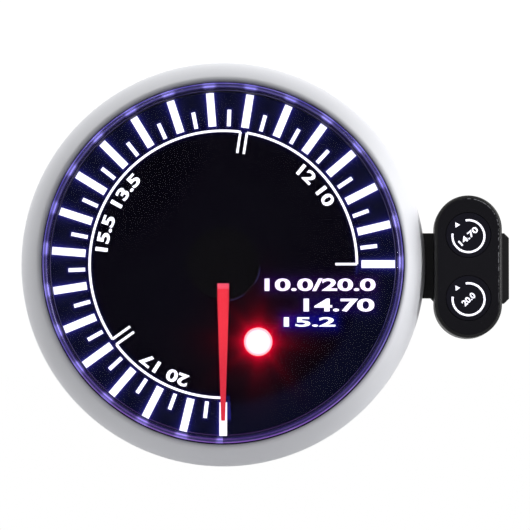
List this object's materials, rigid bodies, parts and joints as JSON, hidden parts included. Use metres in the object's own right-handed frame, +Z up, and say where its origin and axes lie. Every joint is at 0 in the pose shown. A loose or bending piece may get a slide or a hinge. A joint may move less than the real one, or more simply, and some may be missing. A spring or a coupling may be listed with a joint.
{
  "type": "air fuel ratio gauge",
  "caption": "Round dashboard air fuel ratio gauge with a backlit dial, stepper-driven needle, peak lamp and a side pod with push buttons.",
  "frame": {"origin": "on the needle's axis, in the plane where the bracket rests on the dashboard panel", "axes": "+Y backwards into the dashboard along the barrel, so the dial faces -Y; +X towards the button pod; +Z up"},
  "size_m": [0.0817, 0.053, 0.0676],
  "materials": {
    "bezel_white": "satin white moulding",
    "lens_smoke": "clear smoked glass with a bevelled edge",
    "gasket_rubber": "matt black rubber",
    "housing_black": "fine moulded black",
    "screw_steel": "zinc plated steel",
    "mask_black": "printed matt black",
    "diffuser_opal": "opal white, lit from behind",
    "guide_clear": "clear moulding",
    "tray_white": "white reflector moulding",
    "lamp_red": "lit red window",
    "led_body": "small lamp body",
    "needle_red": "lit red moulding",
    "cap_black": "smooth black",
    "arbor_steel": "polished steel",
    "wheel_acetal": "natural white moulding",
    "magnet_grey": "dark grey magnet",
    "core_steel": "stamped core",
    "motor_black": "black moulding",
    "winding_copper": "enamelled copper wire",
    "pin_tin": "tinned pins",
    "board_green": "green solder mask",
    "chip_black": "moulded package",
    "spacer_brass": "turned brass",
    "can_aluminium": "aluminium can",
    "socket_white": "natural white moulding",
    "bracket_black": "moulded black",
    "pod_black": "moulded black",
    "film_black": "fine matt black",
    "switch_grey": "small switch body"
  },
  "bodies": {
    "housing": {"bezel_ring": "bezel_white", "lens": "lens_smoke", "lens_gasket": "gasket_rubber", "body_can": "housing_black", "rear_cover": "housing_black", "rear_screws": "screw_steel", "clamp_studs": "screw_steel", "dial_retainer": "housing_black", "dial_mask": "mask_black", "dial_diffuser": "diffuser_opal", "light_guide": "guide_clear", "light_tray": "tray_white", "peak_window": "lamp_red", "peak_led": "lamp_red", "peak_led_sleeve": "tray_white", "dial_leds": "led_body", "needle_leds": "led_body", "stator_core": "core_steel", "coil_bobbins": "motor_black", "coil_windings": "winding_copper", "motor_case_front": "motor_black", "motor_case_rear": "motor_black", "motor_pins": "pin_tin", "main_board": "board_green", "main_board_chips": "chip_black", "buzzer": "chip_black", "board_spacers": "spacer_brass", "board_screws": "screw_steel", "board_header": "chip_black", "interface_board": "board_green", "regulator": "chip_black", "capacitors": "can_aluminium", "power_socket": "socket_white", "sensor_socket": "socket_white", "pod_socket": "socket_white", "socket_pins": "pin_tin", "pod_bracket": "bracket_black", "bracket_screws": "screw_steel", "pod_back": "pod_black", "pod_shell": "pod_black", "pod_film": "film_black", "pod_screws": "screw_steel", "pod_grommet": "gasket_rubber", "pod_board": "board_green", "pod_leds": "led_body", "switch_housings": "switch_grey"},
    "needle": {"needle_pointer": "needle_red", "needle_hub": "housing_black", "needle_cap": "cap_black", "output_shaft": "arbor_steel", "output_wheel": "wheel_acetal"},
    "intermediate_gear": {"intermediate_wheel": "wheel_acetal", "intermediate_pinion": "arbor_steel"},
    "rotor": {"rotor_pinion": "arbor_steel", "rotor_magnet": "magnet_grey"},
    "peak_key": {"peak_button": "film_black", "peak_plunger": "motor_black"},
    "recall_key": {"recall_button": "film_black", "recall_plunger": "motor_black"}
  },
  "joints": [
    {"name": "needle_turn", "type": "hinge", "parent": "housing", "child": "needle", "pos_m": [0, 0, 0], "axis": [0, 1, 0], "range_deg": [0, 270]},
    {"name": "intermediate_turn", "type": "hinge", "parent": "housing", "child": "intermediate_gear", "pos_m": [0, 0.006, -0.0072], "axis": [0, 1, 0], "range_deg": [-4050, 0]},
    {"name": "rotor_turn", "type": "hinge", "parent": "housing", "child": "rotor", "pos_m": [0, 0.0086, -0.01305], "axis": [0, 1, 0], "range_deg": [0, 48600]},
    {"name": "peak_press", "type": "slide", "parent": "housing", "child": "peak_key", "axis": [0, 1, 0], "range_m": [0, 0.00035], "stiffness_N_per_m": 1600, "springref_m": -0.0005},
    {"name": "recall_press", "type": "slide", "parent": "housing", "child": "recall_key", "axis": [0, 1, 0], "range_m": [0, 0.00035], "stiffness_N_per_m": 1600, "springref_m": -0.0005}
  ],
  "couplings": [
    {"joint": "intermediate_turn", "follows": "needle_turn", "ratio": -15},
    {"joint": "rotor_turn", "follows": "needle_turn", "ratio": 180}
  ]
}
